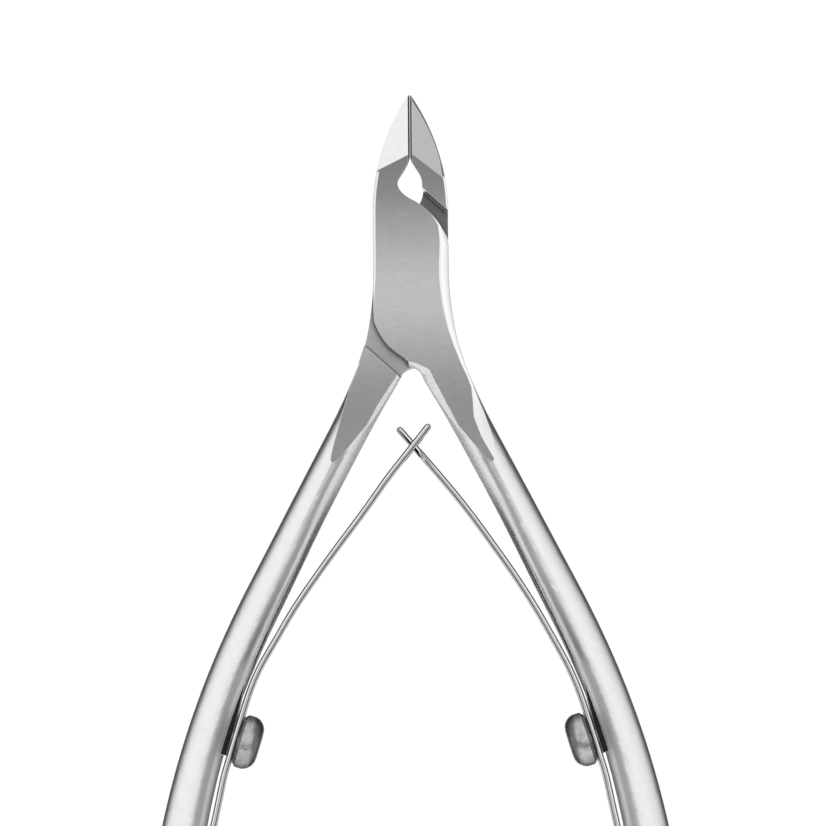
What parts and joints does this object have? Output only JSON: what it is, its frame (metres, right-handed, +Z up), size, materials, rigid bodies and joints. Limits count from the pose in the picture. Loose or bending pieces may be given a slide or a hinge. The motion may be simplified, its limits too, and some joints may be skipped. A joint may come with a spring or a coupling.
{
  "type": "cuticle nipper",
  "caption": "Steel cuticle nipper with a screwed lap joint, pointed half-jaw blades and two interlocked leaf springs screwed to bowed handles.",
  "frame": {"origin": "centre of the footprint of the nipper lying flat with its blades closed, on the plane that it rests on", "axes": "+Y along the tool towards the blade tip, +Z up out of the front face, +X to the right seen from the front"},
  "size_m": [0.062, 0.1114, 0.0062],
  "materials": {
    "half_steel": "satin ground stainless steel",
    "spring_steel": "satin stainless spring strip",
    "screw_steel": "tumbled dull stainless steel"
  },
  "bodies": {
    "front_half": {"front_half": "half_steel", "pivot_screw": "screw_steel", "right_spring_screw": "screw_steel"},
    "back_half": {"back_half": "half_steel", "left_spring_screw": "screw_steel"},
    "right_spring": {"right_spring": "spring_steel"},
    "left_spring": {"left_spring": "spring_steel"}
  },
  "joints": [
    {"name": "jaw_pivot", "type": "hinge", "parent": "front_half", "child": "back_half", "pos_m": [0, 0.0335, 0.0031], "axis": [0, 0, -1], "range_deg": [0, 15]},
    {"name": "right_spring_flex", "type": "hinge", "parent": "front_half", "child": "right_spring", "pos_m": [0.0174, -0.00905, 0.0031], "axis": [0, 0, 1], "range_deg": [0, 6.3], "deforming": ["right_spring"]},
    {"name": "left_spring_flex", "type": "hinge", "parent": "back_half", "child": "left_spring", "pos_m": [-0.0173, -0.009, 0.0031], "axis": [0, 0, -1], "range_deg": [0, 6.3], "deforming": ["left_spring"]}
  ],
  "couplings": [
    {"joint": "right_spring_flex", "follows": "jaw_pivot", "ratio": 0.41},
    {"joint": "left_spring_flex", "follows": "jaw_pivot", "ratio": 0.41}
  ]
}
